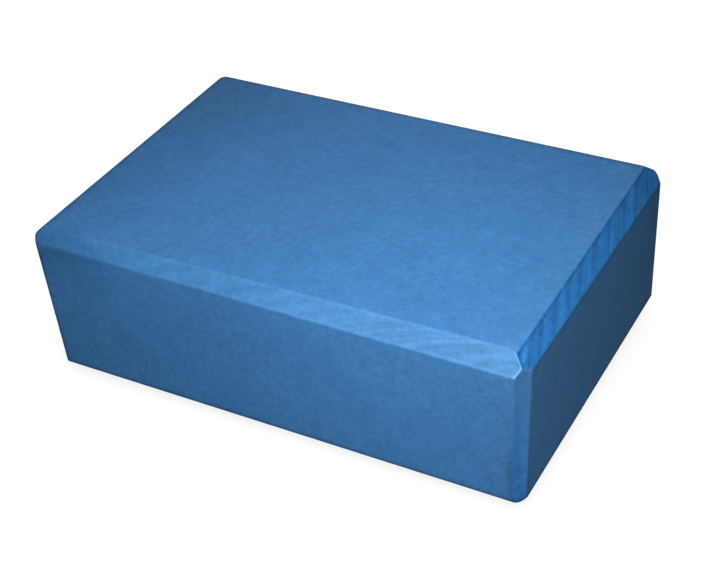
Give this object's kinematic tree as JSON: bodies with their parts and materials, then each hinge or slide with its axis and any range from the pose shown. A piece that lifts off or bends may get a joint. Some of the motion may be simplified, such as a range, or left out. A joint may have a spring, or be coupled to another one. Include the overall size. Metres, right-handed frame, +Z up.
{
  "type": "yoga block",
  "caption": "Rectangular block of firm foam with bevelled edges, to stand, sit or lean a hand on in yoga.",
  "frame": {"origin": "middle of the underside, which rests on the floor", "axes": "+X along the length, +Y from the front face to the back face, +Z up through the height"},
  "size_m": [0.2286, 0.1524, 0.0762],
  "materials": {
    "foam": "matte"
  },
  "bodies": {
    "root": {"foam_block": "foam"}
  },
  "joints": []
}
